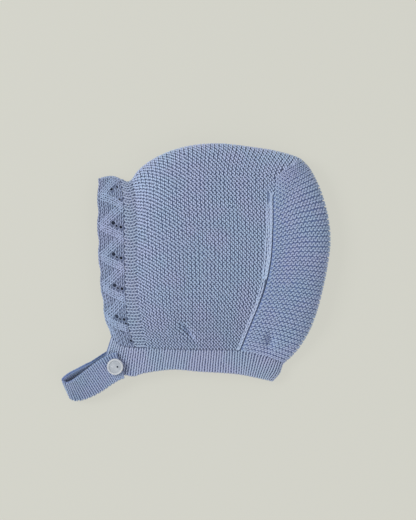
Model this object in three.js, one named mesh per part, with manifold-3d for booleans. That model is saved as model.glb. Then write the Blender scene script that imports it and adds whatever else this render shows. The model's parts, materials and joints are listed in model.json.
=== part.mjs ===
// A knitted baby bonnet lying on its side, buttoned. Millimetres, +Z up.
//
// The bonnet is a soft bag folded flat: one layer rests on the surface, the other arches over it, and
// they turn into each other along one fold that runs over the crown and down the back of the head.
// Every panel is drawn in plan between the same few outline lines, and one height rule lifts all of
// them, so neighbours follow each other edge to edge.
import * as THREE from 'three';
import { mergeVertices } from 'three/addons/utils/BufferGeometryUtils.js';
import Module from 'manifold-3d';

const wasm = await Module();
wasm.setup();

const { clamp, degToRad, smoothstep } = THREE.MathUtils;

// Walls, as thick as the knitting is.
const GARTER_WALL = 3.0;
const RIB_WALL = 2.6;
const LACE_WALL = 2.2;
const GAP = 0.3;

// Height of the upper layer's middle surface, and of the fold, over the surface it lies on.
const BODY_HEIGHT = 27;
const MOUTH_HEIGHT = 12;

const FOLD_SHARE = 0.33;
const UPPER_TURN = 1.5;
const LOWER_TURN = 0.36;

// Where the arch starts to rise behind the face opening and above the neck, and over what distance.
const FACE_EDGE = { start: -68, reach: 56 };
const NECK_EDGE = { start: -64, reach: 46 };

// Chin strap, button and buttonhole.
const STRAP_WIDTH = 18;
const BUTTON = { diameter: 11, thickness: 2.6, rim: 1.2, dish: 0.7, hole: 1.3, holeSpread: 1.6 };
const THREAD_DIAMETER = 1.6;
const BUTTONHOLE = { length: 7.4, width: 2.6 };

// Colours, and how far each surface scatters light.
const YARN_BLUE = 0x8592ae;
const STRAP_BLUE = 0x7e8ca6;
const PEARL = 0xb9c0c8;
const THREAD_COLOUR = 0x8f9bb4;

// The fold seen from above, from the lace's top corner over the crown and down the back to the hem.
// Each row: name of the place, x, y.
const FOLD_LINE = [
  ['laceCorner', -66.0, 62.2],
  ['', -57.0, 63.7],
  ['laceEnd', -50.9, 61.7],
  ['notch', -46.6, 59.6],
  ['ribEnd', -43.0, 60.8],
  ['', -38.3, 67.1],
  ['', -26.1, 75.8],
  ['', -7.0, 82.7],
  ['', 14.0, 84.8],
  ['', 36.0, 82.6],
  ['', 56.0, 79.2],
  ['crownEnd', 70.9, 73.6],
  ['', 79.6, 61.0],
  ['', 86.9, 39.6],
  ['', 89.0, 21.1],
  ['', 86.6, 1.0],
  ['', 80.0, -26.8],
  ['', 75.2, -39.5],
  ['', 68.8, -50.4],
  ['', 63.6, -56.6],
  ['neckEnd', 58.2, -61.6],
  ['', 55.6, -68.4],
  ['hemEnd', 50.8, -73.6],
];

// The lines between the panels, from the neck up to the fold. Each row: x, y.
const FACE_LINE = [
  [-56.9, -43.9],
  [-61.0, -30.5],
  [-64.3, -6.4],
  [-65.9, 17.8],
  [-66.4, 41.9],
];
const LACE_RIB_LINE = [
  [-40.2, -51.3],
  [-44.6, -37.9],
  [-46.6, -15.0],
  [-47.5, 15.0],
  [-48.2, 47.9],
];
const RIB_MAIN_LINE = [
  [-32.8, -51.3],
  [-36.0, -35.8],
  [-38.6, -12.0],
  [-39.3, 21.1],
  [-40.0, 46.0],
];
const SIDE_SEAM = [
  [29.4, -53.3],
  [37.4, -32.5],
  [45.0, -13.0],
  [49.4, 6.0],
  [50.9, 29.0],
  [51.1, 50.0],
  [52.6, 62.2],
];
const TOP_SEAM = [
  [52.6, 62.2],
  [60.0, 68.6],
];
const CORNER_SHARE = 0.8;

// Stations along the neckband, from the button tab round to the fold. Each row: name, the point on the
// neckline, the point on the hem.
const NECK_STATIONS = [
  ['tab', -56.9, -43.9, -61.4, -58.0],
  ['', -50.6, -49.6, -53.4, -66.6],
  ['laceRib', -40.2, -51.3, -42.6, -70.2],
  ['ribMain', -32.8, -51.3, -35.2, -68.1],
  ['', -14.1, -52.3, -15.6, -65.6],
  ['', 2.7, -52.6, 1.6, -66.9],
  ['seam', 29.4, -53.3, 28.6, -68.8],
  ['', 44.6, -56.4, 41.8, -71.4],
  ['fold', 58.2, -61.6, 50.8, -73.6],
];
const FAR_FRONT = { top: [-52.0, -51.0], hem: [-46.2, -69.6] };

// Soft dips in the upper layer: two dents in the panels, and the button tab sagging towards the strap.
const DENTS = [
  { x: -5.0, y: -33.0, spreadX: 2.6, spreadY: 8.0, depth: 1.2 },
  { x: 47.6, y: -46.0, spreadX: 3.0, spreadY: 7.0, depth: 1.3 },
];
const TAB_SAG = { x: -56, y: -62, spreadX: 12, spreadY: 13, depth: 3.4 };

// The strap's middle line, from the far front end of the neckband, round the loop, to the tip. Each
// row: x, y, z, direction of its width in plan (degrees), lean of its upper edge (degrees).
const STRAP_ROUTE = [
  [-49.7, -60.9, 1.4, 107.3, 0],
  [-56.3, -62.9, 2.1, 110, 4],
  [-61.6, -65.7, 4.2, 114, 16],
  [-66.4, -67.6, 6.2, 116, 30],
  [-72.3, -69.3, 7.6, 116, 42],
  [-78.9, -71.6, 8.5, 116, 50],
  [-84.2, -74.4, 9.0, 113, 52],
  [-87.4, -77.6, 9.3, 108, 52],
  [-85.2, -80.3, 10.2, 103, 45],
  [-80.8, -79.9, 11.4, 111, 36],
  [-74.6, -76.9, 12.6, 119, 24],
  [-67.6, -72.4, 12.9, 124, 10],
  [-60.9, -67.6, 12.8, 123, 3],
  [-54.0, -63.6, 12.8, 114, 0],
  [-50.6, -62.6, 13.1, 107, 0],
];

// The lace repeats along the face edge. An eyelet row: share of the way across from the face edge, share
// of one repeat along it, diameter. The lower layer's eyelets lie half a repeat from the upper layer's.
const REPEAT = { first: 0.045, pitch: 0.187, count: 5, scallop: 0.9 };
const EYELETS = [
  [0.66, 0.0, 1.7],
  [0.60, 0.47, 2.4],
  [0.85, 0.36, 1.9],
];
const BETWEEN_LACE_LAYERS = 5;

// How finely the walls are faceted.
const CURVE_STEPS = 14;
const FOLD_STEPS = 6;
const SEAM_STEPS = 18;
const MAIN_STEPS = 18;
const RIB_STEPS = 2;
const LACE_STEPS = 4;
const BAND_STEPS = 3;
const STRAP_STEPS = 44;
const TINY = 1e-3;

// ---------------------------------------------------------------- lines in plan

// A smooth line through points, dense enough to be walked along.
function smoothLine(points) {
  const knots = points.map(([x, y]) => new THREE.Vector3(x, y, 0));
  return new THREE.CatmullRomCurve3(knots).getPoints((knots.length - 1) * CURVE_STEPS);
}

// The stretch of a dense line between two of its knots, as a function of the share of its length.
function stretch(line, from = 0, to = (line.length - 1) / CURVE_STEPS) {
  const part = line.slice(Math.min(from, to) * CURVE_STEPS, Math.max(from, to) * CURVE_STEPS + 1);
  if (from > to) part.reverse();
  const lengths = [0];
  for (let i = 1; i < part.length; i += 1) {
    lengths.push(lengths[i - 1] + part[i].distanceTo(part[i - 1]));
  }
  return (share) => {
    const goal = clamp(share, 0, 1) * lengths.at(-1);
    let i = 1;
    while (i < part.length - 1 && lengths[i] < goal) i += 1;
    const t = (goal - lengths[i - 1]) / (lengths[i] - lengths[i - 1]);
    return part[i - 1].clone().lerp(part[i], t);
  };
}

const foldLine = smoothLine(FOLD_LINE.map(([, x, y]) => [x, y]));
const foldKnot = (name) => FOLD_LINE.findIndex(([place]) => place === name);
const foldPoint = (name) => FOLD_LINE[foldKnot(name)].slice(1);
const foldStretch = (from, to) => stretch(foldLine, foldKnot(from), foldKnot(to));

const neckTopLine = smoothLine(NECK_STATIONS.map(([, x, y]) => [x, y]));
const hemLine = smoothLine(NECK_STATIONS.map(([, , , x, y]) => [x, y]));
const neckKnot = (name) => NECK_STATIONS.findIndex(([place]) => place === name);
const neckStretch = (from, to) => stretch(neckTopLine, neckKnot(from), neckKnot(to));
const hemStretch = (from, to) => stretch(hemLine, neckKnot(from), neckKnot(to));

// The face edge dips in a little at each repeat of the lace.
function faceEdge() {
  const plain = stretch(smoothLine([...FACE_LINE, foldPoint('laceCorner')]));
  return (share) => {
    const turn = (2 * Math.PI * (share - REPEAT.first)) / REPEAT.pitch;
    const dip = REPEAT.scallop * ((1 + Math.cos(turn)) / 2) ** 2;
    const fade = smoothstep(1 - share, 0, 0.06);
    return plain(share).add(new THREE.Vector3(dip * fade, 0, 0));
  };
}

// The main panel's back edge turns a corner where the back panel's side seam meets its top seam.
const sideSeam = stretch(smoothLine(SIDE_SEAM));
const topSeam = stretch(smoothLine([...TOP_SEAM, foldPoint('crownEnd')]));
const backEdge = (share) => (share < CORNER_SHARE
  ? sideSeam(share / CORNER_SHARE)
  : topSeam((share - CORNER_SHARE) / (1 - CORNER_SHARE)));

const laceRibEdge = stretch(smoothLine([...LACE_RIB_LINE, foldPoint('laceEnd')]));
const ribMainEdge = stretch(smoothLine([...RIB_MAIN_LINE, foldPoint('ribEnd')]));

// A net between four lines: left and right run along b, bottom and top along a.
function netBetween(left, right, bottom, top) {
  return (a, b) => {
    const across = left(b).multiplyScalar(1 - a).addScaledVector(right(b), a);
    const along = bottom(a).multiplyScalar(1 - b).addScaledVector(top(a), b);
    const corners = left(0).multiplyScalar((1 - a) * (1 - b));
    corners.addScaledVector(right(0), a * (1 - b));
    corners.addScaledVector(left(1), (1 - a) * b);
    corners.addScaledVector(right(1), a * b);
    return across.add(along).sub(corners);
  };
}

// ---------------------------------------------------------------- the height rule

const segment = new THREE.Line3();
const nearest = new THREE.Vector3();

function distanceToFold(point) {
  let least = Infinity;
  for (let i = 1; i < foldLine.length; i += 1) {
    segment.set(foldLine[i - 1], foldLine[i]).closestPointToPoint(point, true, nearest);
    least = Math.min(least, nearest.distanceTo(point));
  }
  return least;
}

function dip({ x, y, spreadX, spreadY, depth }, atX, atY) {
  return depth * Math.exp(-(((atX - x) / spreadX) ** 2) - ((atY - y) / spreadY) ** 2);
}

function archHeight(x, y) {
  const behindFace = smoothstep(x, FACE_EDGE.start, FACE_EDGE.start + FACE_EDGE.reach);
  const aboveNeck = smoothstep(y, NECK_EDGE.start, NECK_EDGE.start + NECK_EDGE.reach);
  return MOUTH_HEIGHT + (BODY_HEIGHT - MOUTH_HEIGHT) * behindFace * aboveNeck - dip(TAB_SAG, x, y);
}

const roundRise = (q) => Math.sqrt(1 - (1 - Math.min(q, 1)) ** 2);

// Height of the middle of a wall over a point in plan, in the upper or in the lower layer.
function layerHeight(point, upper, wall) {
  const arch = archHeight(point.x, point.y);
  const foldHeight = FOLD_SHARE * arch + wall / 2;
  const inward = distanceToFold(point);
  if (!upper) return foldHeight - (foldHeight - wall / 2) * roundRise(inward / (LOWER_TURN * arch));
  let z = foldHeight + (arch - foldHeight) * roundRise(inward / (UPPER_TURN * arch));
  for (const dent of DENTS) z -= dip(dent, point.x, point.y);
  return z;
}

// A panel that goes over the fold: s runs from -1 in the upper layer, through 0 on the fold, to 1.
const overFold = (s) => 1 - s * s;

function lift(point, s, wall) {
  return point.setZ(layerHeight(point, s <= 0, wall));
}

// ---------------------------------------------------------------- walls

// Gives a middle surface its thickness and closes the four edges. as and bs are the lines of its net.
function wallMesh(name, surface, as, bs, wall, colour, roughness = 0.95) {
  const grid = [];
  for (const b of bs) {
    for (const a of as) {
      const alongA = surface(Math.min(a + TINY, as.at(-1)), b);
      alongA.sub(surface(Math.max(a - TINY, as[0]), b));
      const alongB = surface(a, Math.min(b + TINY, bs.at(-1)));
      alongB.sub(surface(a, Math.max(b - TINY, bs[0])));
      grid.push({ point: surface(a, b), out: alongA.cross(alongB).normalize() });
    }
  }
  const wide = as.length;
  const half = grid.length;
  const positions = [];
  for (const side of [0.5, -0.5]) {
    for (const { point, out } of grid) positions.push(...point.clone().addScaledVector(out, side * wall));
  }
  const faces = [];
  const quad = (p, q, r, t) => faces.push(p, q, r, p, r, t);
  for (let j = 0; j + 1 < bs.length; j += 1) {
    for (let i = 0; i + 1 < wide; i += 1) {
      const k = j * wide + i;
      quad(k, k + 1, k + wide + 1, k + wide);
      quad(half + k, half + k + wide, half + k + wide + 1, half + k + 1);
    }
  }
  const rim = [];
  for (let i = 0; i + 1 < wide; i += 1) rim.push(i);
  for (let j = 0; j + 1 < bs.length; j += 1) rim.push(j * wide + wide - 1);
  for (let i = wide - 1; i > 0; i -= 1) rim.push((bs.length - 1) * wide + i);
  for (let j = bs.length - 1; j > 0; j -= 1) rim.push(j * wide);
  rim.forEach((k, i) => {
    const next = rim[(i + 1) % rim.length];
    quad(k, half + k, half + next, next);
  });
  const geometry = new THREE.BufferGeometry();
  geometry.setAttribute('position', new THREE.Float32BufferAttribute(positions, 3));
  geometry.setIndex(faces);
  return meshOf(name, geometry, colour, roughness);
}

function meshOf(name, geometry, colour, roughness, metalness = 0) {
  const material = new THREE.MeshStandardMaterial({ color: colour, roughness, metalness });
  const mesh = new THREE.Mesh(geometry, material);
  mesh.name = name;
  return mesh;
}

function even(from, to, steps) {
  return Array.from({ length: steps + 1 }, (_, i) => from + ((to - from) * i) / steps);
}

// ---------------------------------------------------------------- solids that are cut

function solidOf(geometry) {
  const bare = geometry.clone();
  bare.deleteAttribute('normal');
  bare.deleteAttribute('uv');
  const merged = mergeVertices(bare, 1e-5);
  return new wasm.Manifold(new wasm.Mesh({
    numProp: 3,
    vertProperties: new Float32Array(merged.attributes.position.array),
    triVerts: new Uint32Array(merged.index.array),
  }));
}

function geometryOf(solid) {
  const { vertProperties, triVerts } = solid.getMesh();
  const geometry = new THREE.BufferGeometry();
  geometry.setAttribute('position', new THREE.BufferAttribute(new Float32Array(vertProperties), 3));
  geometry.setIndex(new THREE.BufferAttribute(new Uint32Array(triVerts), 1));
  return geometry;
}

function cutFrom(mesh, cutters) {
  let solid = solidOf(mesh.geometry);
  for (const cutter of cutters) solid = solid.subtract(solidOf(cutter));
  mesh.geometry = geometryOf(solid);
  return mesh;
}

// ---------------------------------------------------------------- the panels

// Lines across the fold, shared by all panels that go over it: close together where the wall turns,
// then even down to the neck, with one on the corner of the back panel.
const cornerTurn = Math.sqrt(1 - CORNER_SHARE);
const turnLines = even(0, cornerTurn, FOLD_STEPS);
const neckShare = (GAP / 2) / 130;
const underShare = (share) => Math.sqrt(1 - share);
const sideLines = (steps) => even(CORNER_SHARE, neckShare, steps).slice(1).map(underShare);

function foldLines(steps) {
  const half = [...turnLines, ...sideLines(steps)];
  return [...half.slice(1).reverse().map((s) => -s), ...half];
}

function panelOverFold(name, net, steps, size, wall, lines) {
  const trim = (GAP / 2) / size;
  const surface = (a, s) => lift(net(a, overFold(s)), s, wall);
  return wallMesh(name, surface, even(trim, 1 - trim, steps), lines, wall, YARN_BLUE);
}

function mainPanel() {
  const neck = neckStretch('ribMain', 'seam');
  const net = netBetween(ribMainEdge, backEdge, neck, foldStretch('ribEnd', 'crownEnd'));
  return panelOverFold('main_panel', net, MAIN_STEPS, 90, GARTER_WALL, foldLines(SEAM_STEPS));
}

function frontRib() {
  const neck = neckStretch('laceRib', 'ribMain');
  const net = netBetween(laceRibEdge, ribMainEdge, neck, foldStretch('laceEnd', 'ribEnd'));
  return panelOverFold('front_rib', net, RIB_STEPS, 8, RIB_WALL, foldLines(SEAM_STEPS));
}

// The openwork: the same few eyelets at each repeat, cut through one layer at a time.
function eyeletCutters(net) {
  const cutters = [];
  const tall = 4 * BETWEEN_LACE_LAYERS;
  const layers = [[0, BETWEEN_LACE_LAYERS + tall / 2], [0.5, BETWEEN_LACE_LAYERS - tall / 2]];
  for (const [shift, middle] of layers) {
    for (let repeat = 0; repeat < REPEAT.count; repeat += 1) {
      for (const [across, along, diameter] of EYELETS) {
        const at = net(across, REPEAT.first + REPEAT.pitch * (repeat + along + shift));
        const eyelet = new THREE.CylinderGeometry(diameter / 2, diameter / 2, tall, 8);
        cutters.push(eyelet.rotateX(Math.PI / 2).translate(at.x, at.y, middle));
      }
    }
  }
  return cutters;
}

function laceTrim() {
  const neck = neckStretch('tab', 'laceRib');
  const net = netBetween(faceEdge(), laceRibEdge, neck, foldStretch('laceCorner', 'laceEnd'));
  const lace = panelOverFold('lace_trim', net, LACE_STEPS, 18, LACE_WALL, foldLines(2 * SEAM_STEPS));
  return cutFrom(lace, eyeletCutters(net));
}

function backPanel() {
  const side = (q) => sideSeam(q);
  const fold = foldStretch('neckEnd', 'crownEnd');
  const net = netBetween(side, fold, neckStretch('seam', 'fold'), topSeam);
  const trim = (GAP / 2) / 30;
  const surface = (t, q) => lift(net(overFold(t), q), t, GARTER_WALL);
  const edge = Math.sqrt(1 - trim);
  const half = turnLines.map((s) => s / cornerTurn).slice(1, -1);
  const columns = [-edge, ...half.slice().reverse().map((t) => -t), 0, ...half, edge];
  const rows = even(neckShare, 1, SEAM_STEPS);
  rows[rows.length - 1] = 1 - (GAP / 2) / 119;
  return wallMesh('back_panel', surface, columns, rows, GARTER_WALL, YARN_BLUE);
}

// The neckband hangs from the neckline. Its columns are numbered from the tab at -4, by -3 at the front
// rib, -2 at the main panel, -1 at the back panel's seam, 0 on the fold, and back to 4 at the far end.
const NECK_PLACES = ['fold', 'seam', 'ribMain', 'laceRib', 'tab'];

function bandStretches(near) {
  const stretches = NECK_PLACES.slice(1).map((place, i) => ({
    top: neckStretch(NECK_PLACES[i], place),
    hem: hemStretch(NECK_PLACES[i], place),
  }));
  if (near) return stretches;
  const corner = NECK_STATIONS[neckKnot('laceRib')];
  const farTop = stretch(smoothLine([corner.slice(1, 3), FAR_FRONT.top]));
  const farHem = stretch(smoothLine([corner.slice(3), FAR_FRONT.hem]));
  return [...stretches.slice(0, 3), { top: farTop, hem: farHem }];
}

const bandSides = { near: bandStretches(true), far: bandStretches(false) };

function bandPoint(column, up) {
  const size = Math.abs(column);
  const index = Math.min(Math.floor(size), NECK_PLACES.length - 2);
  const { top, hem } = (column <= 0 ? bandSides.near : bandSides.far)[index];
  const share = index === 0 ? size * size : size - index;
  return lift(hem(share).lerp(top(share), up), column, RIB_WALL);
}

function neckband() {
  const front = [...even(4, 3, LACE_STEPS), ...even(3, 2, RIB_STEPS).slice(1)];
  const turn = turnLines.map((s) => s / cornerTurn).reverse();
  const half = [...front, ...even(2, 1, MAIN_STEPS).slice(1), ...turn.slice(1)];
  const columns = [...half.map((c) => -c), ...half.slice(0, -1).reverse()];
  const rows = even(0, 1 - (GAP / 2) / 16, BAND_STEPS);
  return wallMesh('neckband', bandPoint, columns, rows, RIB_WALL, YARN_BLUE);
}

// ---------------------------------------------------------------- strap and button

const along3 = (rows) => new THREE.CatmullRomCurve3(rows.map((row) => new THREE.Vector3(...row)));
const strapLine = along3(STRAP_ROUTE.map(([x, y, z]) => [x, y, z]));
const strapTurn = along3(STRAP_ROUTE.map(([, , , width, lean]) => [width, lean, 0]));

// The button sits on the strap's last station but one.
const buttonAt = strapLine.getPoint((STRAP_ROUTE.length - 2) / (STRAP_ROUTE.length - 1));
const buttonBase = buttonAt.z + RIB_WALL / 2 + GAP;

// A point of the strap: a share of the way along it, and a share of its width to one side.
function strapPoint(along, across) {
  const { x: width, y: lean } = strapTurn.getPoint(along);
  const heading = degToRad(width);
  const rise = degToRad(lean);
  const side = new THREE.Vector3(Math.cos(heading), Math.sin(heading), 0).multiplyScalar(Math.cos(rise));
  side.z = Math.sin(rise);
  return strapLine.getPoint(along).addScaledVector(side, across * STRAP_WIDTH);
}

function chinStrap() {
  const surface = (across, along) => strapPoint(along, across);
  const rows = even(-0.5, 0.5, BAND_STEPS);
  const strap = wallMesh('chin_strap', surface, rows, even(0, 1, STRAP_STEPS), RIB_WALL, STRAP_BLUE);
  const slit = new THREE.BoxGeometry(BUTTONHOLE.length, BUTTONHOLE.width, 3 * RIB_WALL);
  slit.translate(BUTTON.holeSpread - BUTTONHOLE.length / 2, 0, 0);
  slit.rotateZ(degToRad(14));
  slit.translate(buttonAt.x, buttonAt.y, buttonAt.z);
  return cutFrom(strap, [slit]);
}

function button() {
  const radius = BUTTON.diameter / 2;
  const { thickness, rim, dish } = BUTTON;
  const profile = [
    [0, 0],
    [radius - 1.4, 0],
    [radius - 0.4, 0.5],
    [radius, 1.2],
    [radius - 0.25, thickness - 0.4],
    [radius - rim / 2, thickness],
    [radius - rim, thickness - 0.15],
    [radius - rim - 0.7, thickness - dish],
    [0, thickness - dish],
  ];
  const disc = new THREE.LatheGeometry(profile.map(([r, z]) => new THREE.Vector2(r, z)), 36);
  disc.rotateX(Math.PI / 2);
  const mesh = meshOf('button', disc, PEARL, 0.3);
  const holes = [-1, 1].map((side) => {
    const hole = new THREE.CylinderGeometry(BUTTON.hole / 2, BUTTON.hole / 2, 4 * thickness, 12);
    return hole.rotateX(Math.PI / 2).translate(side * BUTTON.holeSpread, 0, 0);
  });
  cutFrom(mesh, holes);
  mesh.position.set(buttonAt.x, buttonAt.y, buttonBase);
  return mesh;
}

function buttonThread() {
  const foot = archHeight(buttonAt.x, buttonAt.y) + RIB_WALL / 2 + GAP;
  const tall = buttonBase - GAP - foot;
  const stem = new THREE.CylinderGeometry(THREAD_DIAMETER / 2, THREAD_DIAMETER / 2, tall, 12);
  stem.rotateX(Math.PI / 2);
  const mesh = meshOf('button_thread', stem, THREAD_COLOUR, 0.9);
  mesh.position.set(buttonAt.x, buttonAt.y, foot + tall / 2);
  return mesh;
}

// ---------------------------------------------------------------- the bonnet

const bonnet = new THREE.Group();
bonnet.add(mainPanel(), backPanel(), frontRib(), laceTrim(), neckband(), chinStrap(), button(), buttonThread());

// The origin is the middle of the whole, on the surface it lies on.
const box = new THREE.Box3().setFromObject(bonnet, true);
const middle = box.getCenter(new THREE.Vector3());
bonnet.position.set(-middle.x, -middle.y, -box.min.z);

export default bonnet;
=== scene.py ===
# %% [markdown]
# # A knitted baby bonnet, stitch by stitch
# The bonnet is hand-sized knitwear lying on its side: two panels of garter stitch, a narrow rib, a lace
# face edge, a ribbed neckband and a chin strap that is looped and buttoned. Knitting could be a bump
# map on a smooth bag, but then its edge stays smooth and nothing throws a shadow. Here each panel is a
# thin sheet of cloth, and every stitch on it is a short length of real yarn laid along that sheet.

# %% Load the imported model
import json
import math

import bpy
import numpy as np
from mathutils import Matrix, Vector

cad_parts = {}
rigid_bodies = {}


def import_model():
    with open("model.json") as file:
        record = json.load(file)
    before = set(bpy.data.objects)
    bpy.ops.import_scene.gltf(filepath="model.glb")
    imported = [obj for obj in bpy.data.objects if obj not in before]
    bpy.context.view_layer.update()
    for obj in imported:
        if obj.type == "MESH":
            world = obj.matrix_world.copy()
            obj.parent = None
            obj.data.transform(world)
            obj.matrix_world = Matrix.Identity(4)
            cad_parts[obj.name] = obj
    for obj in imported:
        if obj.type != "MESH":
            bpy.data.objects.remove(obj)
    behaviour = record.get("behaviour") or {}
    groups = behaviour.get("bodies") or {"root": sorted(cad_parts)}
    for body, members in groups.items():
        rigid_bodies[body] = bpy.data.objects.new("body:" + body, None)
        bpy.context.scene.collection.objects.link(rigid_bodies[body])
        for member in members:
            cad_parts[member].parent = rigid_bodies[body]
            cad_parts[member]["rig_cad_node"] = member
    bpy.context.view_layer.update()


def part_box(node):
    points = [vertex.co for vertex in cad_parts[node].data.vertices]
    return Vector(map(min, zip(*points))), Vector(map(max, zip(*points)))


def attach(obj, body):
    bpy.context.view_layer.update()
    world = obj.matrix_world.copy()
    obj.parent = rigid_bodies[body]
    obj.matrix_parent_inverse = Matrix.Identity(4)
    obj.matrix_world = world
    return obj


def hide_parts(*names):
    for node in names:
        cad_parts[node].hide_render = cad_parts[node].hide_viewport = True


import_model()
MM = 0.001
rng = np.random.default_rng(11)

# %% [markdown]
# ## Sizes
# The walls are as thick as the knitting. The yarn is a fine baby yarn, about a millimetre across, and
# the tension is what such yarn gives: a garter ridge and a stitch about every 2.6 mm.

# %% Sizes of the knitting, in millimetres
GARTER_WALL, RIB_WALL, LACE_WALL = 3.0, 2.6, 2.2
YARN = 1.0
RIDGE_WIDTH = 2.6
GROUND = {"garter": (0.15, -0.9), "rib": (0.05, -0.8), "lace": (0.1, -0.75)}  # its two skins
MAIN_RIDGES, MAIN_STITCHES = 46, 55
BACK_RIDGES, BACK_STITCHES = 44, 16
BAND_RIBS, FRONT_RIBS, STRAP_RIBS = 69, 58, 29
STRAP_WIDTH = 18.0
print("ridges on the main and back panel:", MAIN_RIDGES, BACK_RIDGES)

# %% [markdown]
# ## Camera and studio
# The bonnet is seen from straight above through a long lens, so its outline is almost undistorted. The
# sheet of pale paper under it is the stage, lit by two large soft lamps and a bright surround.


# %% Where the drawing's zero lies in the model
button_low, button_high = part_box("button")
BUTTON_PLACE = (-54.0, -63.6)
SHIFT = np.array([
    (button_low.x + button_high.x) / 2 / MM - BUTTON_PLACE[0],
    (button_low.y + button_high.y) / 2 / MM - BUTTON_PLACE[1],
    0.0,
])
print("drawing shifted by", SHIFT.round(2), "mm")

# %% Camera straight overhead
LENS, SENSOR = 100.0, 36.0
VIEW_HEIGHT = 348.4
VIEW_CENTRE = (8.0, 7.7)
BONNET_MIDDLE_HEIGHT = 12.0
camera = bpy.data.objects.new("overhead_camera", bpy.data.cameras.new("overhead_camera"))
bpy.context.collection.objects.link(camera)
camera.data.lens, camera.data.sensor_width = LENS, SENSOR
camera.data.clip_end = 10
camera.location = (
    (VIEW_CENTRE[0] + SHIFT[0]) * MM,
    (VIEW_CENTRE[1] + SHIFT[1]) * MM,
    (VIEW_HEIGHT * LENS / SENSOR + BONNET_MIDDLE_HEIGHT) * MM,
)
bpy.context.scene.camera = camera
print("camera", round(camera.location.z, 2), "m above the table")


# %% Soft lamps and the surround
def soft_lamp(name, place, size, power):
    """A square lamp at a place, turned to the bonnet."""
    lamp = bpy.data.lights.new(name, "AREA")
    lamp.size, lamp.energy = size, power
    holder = bpy.data.objects.new(name, lamp)
    bpy.context.collection.objects.link(holder)
    holder.location = place
    holder.rotation_euler = (-Vector(place)).to_track_quat("-Z", "Y").to_euler()


PAPER_REACH = 3.0
floor = bpy.data.objects.new("paper_floor", bpy.data.meshes.new("paper_floor"))
corners = [(x * PAPER_REACH, y * PAPER_REACH, 0) for x, y in ((-1, -1), (1, -1), (1, 1), (-1, 1))]
floor.data.from_pydata(corners, [], [(0, 1, 2, 3)])
bpy.context.collection.objects.link(floor)
paper = bpy.data.materials.new("paper")
paper.use_nodes = True
PAPER_FINISH = {
    "Base Color": (0.08, 0.08, 0.073, 1), "Roughness": 0.9,
    "Emission Color": (1, 1, 0.9, 1), "Emission Strength": 0.562,
}
for socket, value in PAPER_FINISH.items():
    paper.node_tree.nodes["Principled BSDF"].inputs[socket].default_value = value
floor.data.materials.append(paper)

soft_lamp("key_lamp", (-0.8, 0.25, 0.9), 0.5, 7.5)
soft_lamp("fill_lamp", (0.7, -0.7, 1.1), 1.0, 3.5)
world = bpy.data.worlds.new("pale_surround")
world.use_nodes = True
glow = world.node_tree.nodes["Background"].inputs
glow["Color"].default_value = (1.0, 1.0, 0.98, 1)
glow["Strength"].default_value = 0.5
bpy.context.scene.world = world
bpy.context.scene.view_settings.view_transform = "Standard"
print("lamps:", len(bpy.data.lights))

# %% [markdown]
# ## The drawing
# Every panel is drawn in plan between a few smooth lines. A smooth line is a Catmull-Rom curve whose
# knots are spaced by distance, so it never overshoots at a short span.


# %% Smooth lines
def smooth_line(points, steps=14):
    """A dense line through points of any dimension, steps to a span."""
    points = np.asarray(points, float)
    ends = (2 * points[0] - points[1], 2 * points[-1] - points[-2])
    knots = np.vstack([ends[0], points, ends[1]])
    line = []
    for a, b, c, d in zip(knots, knots[1:], knots[2:], knots[3:]):
        spans = [max(np.sum((q - p) ** 2), 1e-12) ** 0.25 for p, q in ((a, b), (b, c), (c, d))]
        first = (b - a) / spans[0] - (c - a) / (spans[0] + spans[1]) + (c - b) / spans[1]
        last = (c - b) / spans[1] - (d - b) / (spans[1] + spans[2]) + (d - c) / spans[2]
        first, last = first * spans[1], last * spans[1]
        t = np.linspace(0, 1, steps, endpoint=False)[:, None]
        line.append(b + first * t + (3 * (c - b) - 2 * first - last) * t**2
                    + (2 * (b - c) + first + last) * t**3)
    return np.vstack([*line, points[-1]])


def walk(line):
    """How far along a line each of its points is; also for many lines at once."""
    steps = np.linalg.norm(np.diff(line, axis=-2), axis=-1)
    return np.concatenate([np.zeros_like(steps[..., :1]), np.cumsum(steps, axis=-1)], axis=-1)


def picked(line, walked, goal):
    """The points of a line that lie at the distances in goal."""
    return np.stack([np.interp(goal, walked, values) for values in line.T], -1)


def stretch(line, start=0, end=None, steps=14):
    """The stretch of a dense line between two of its knots, as a function of the share of its length."""
    end = (len(line) - 1) // steps if end is None else end
    part = line[min(start, end) * steps:max(start, end) * steps + 1]
    part = part[::-1] if start > end else part
    walked = walk(part)

    def at(share):
        return picked(part, walked, np.clip(share, 0, 1) * walked[-1])

    at.length = walked[-1]
    return at


# %% The fold, and the lines between the panels
FOLD_LINE = [
    ("lace_corner", -66.0, 62.2), ("", -57.0, 63.7), ("lace_end", -50.9, 61.7), ("notch", -46.6, 59.6),
    ("rib_end", -43.0, 60.8), ("", -38.3, 67.1), ("", -26.1, 75.8), ("", -7.0, 82.7), ("", 14.0, 84.8),
    ("", 36.0, 82.6), ("", 56.0, 79.2), ("crown_end", 70.9, 73.6), ("", 79.6, 61.0), ("", 86.9, 39.6),
    ("", 89.0, 21.1), ("", 86.6, 1.0), ("", 80.0, -26.8), ("", 75.2, -39.5), ("", 68.8, -50.4),
    ("", 63.6, -56.6), ("neck_end", 58.2, -61.6), ("", 55.6, -68.4), ("hem_end", 50.8, -73.6),
]
FACE_LINE = [(-56.9, -43.9), (-61.0, -30.5), (-64.3, -6.4), (-65.9, 17.8), (-66.4, 41.9)]
LACE_RIB_LINE = [(-40.2, -51.3), (-44.6, -37.9), (-46.6, -15.0), (-47.5, 15.0), (-48.2, 47.9)]
RIB_MAIN_LINE = [(-32.8, -51.3), (-36.0, -35.8), (-38.6, -12.0), (-39.3, 21.1), (-40.0, 46.0)]
SIDE_SEAM = [(29.4, -53.3), (37.4, -32.5), (45.0, -13.0), (49.4, 6.0), (50.9, 29.0), (51.1, 50.0),
             (52.6, 62.2)]
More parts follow.
